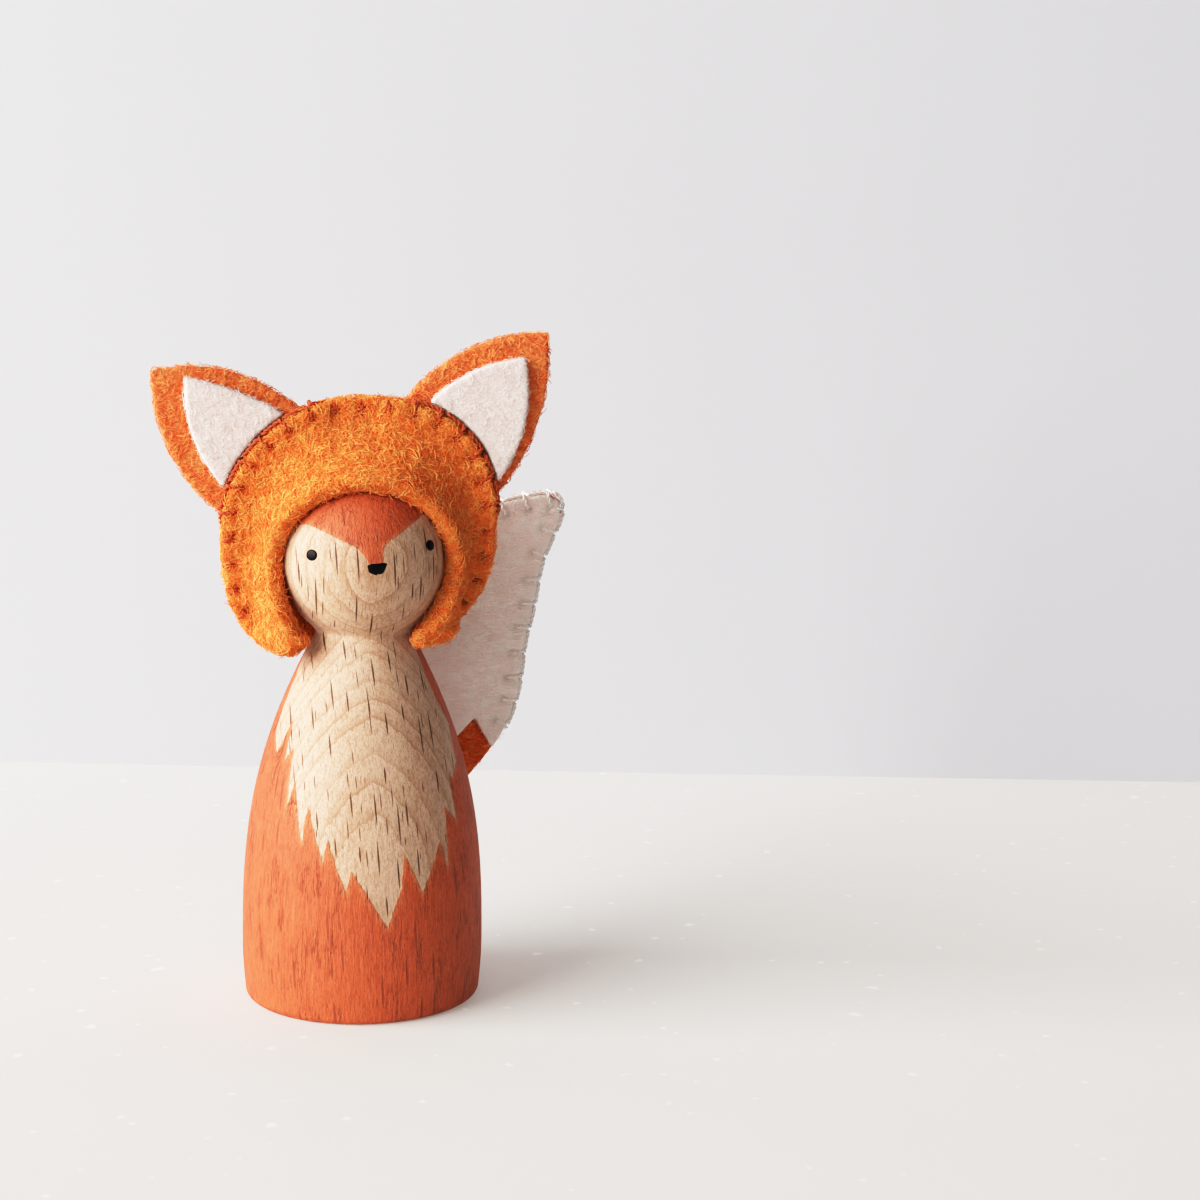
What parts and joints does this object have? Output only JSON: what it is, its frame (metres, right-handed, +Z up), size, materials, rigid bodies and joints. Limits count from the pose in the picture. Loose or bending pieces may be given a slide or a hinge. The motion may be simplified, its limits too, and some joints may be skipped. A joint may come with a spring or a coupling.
{
  "type": "peg doll",
  "caption": "Turned wooden peg figure with a painted face and coat, in a pull-off sewn felt bonnet with pointed fox ears, with a flat felt tail glued to its back.",
  "frame": {"origin": "centre of the flat underside of the turned base", "axes": "+Z up through the figure, -Y the way the face looks, +X to the right as seen from the front"},
  "size_m": [0.0557, 0.0341, 0.0848],
  "materials": {
    "painted_beech": "thin matt coral paint over beech, bare beech at the face and chest",
    "hood_felt": "thick orange craft felt, fuzzy",
    "ear_felt": "orange craft felt",
    "white_felt": "thin white craft felt",
    "tail_felt": "orange craft felt",
    "rust_thread": "matt cotton thread",
    "white_thread": "matt cotton thread",
    "glue": "dried craft glue"
  },
  "bodies": {
    "figure": {"peg": "painted_beech", "tail_core": "tail_felt", "tail_tip_front": "white_felt", "tail_tip_back": "white_felt", "tail_tip_thread": "white_thread", "tail_glue_pad": "glue"},
    "bonnet": {"hood_front_panel": "hood_felt", "hood_back_panel": "hood_felt", "hood_seam_thread": "rust_thread", "ear_left": "ear_felt", "ear_right": "ear_felt", "ear_left_lining": "white_felt", "ear_right_lining": "white_felt"}
  },
  "joints": [
    {"name": "hood_lift", "type": "slide", "parent": "figure", "child": "bonnet", "axis": [0, 0, 1], "range_m": [0, 0.03]}
  ]
}
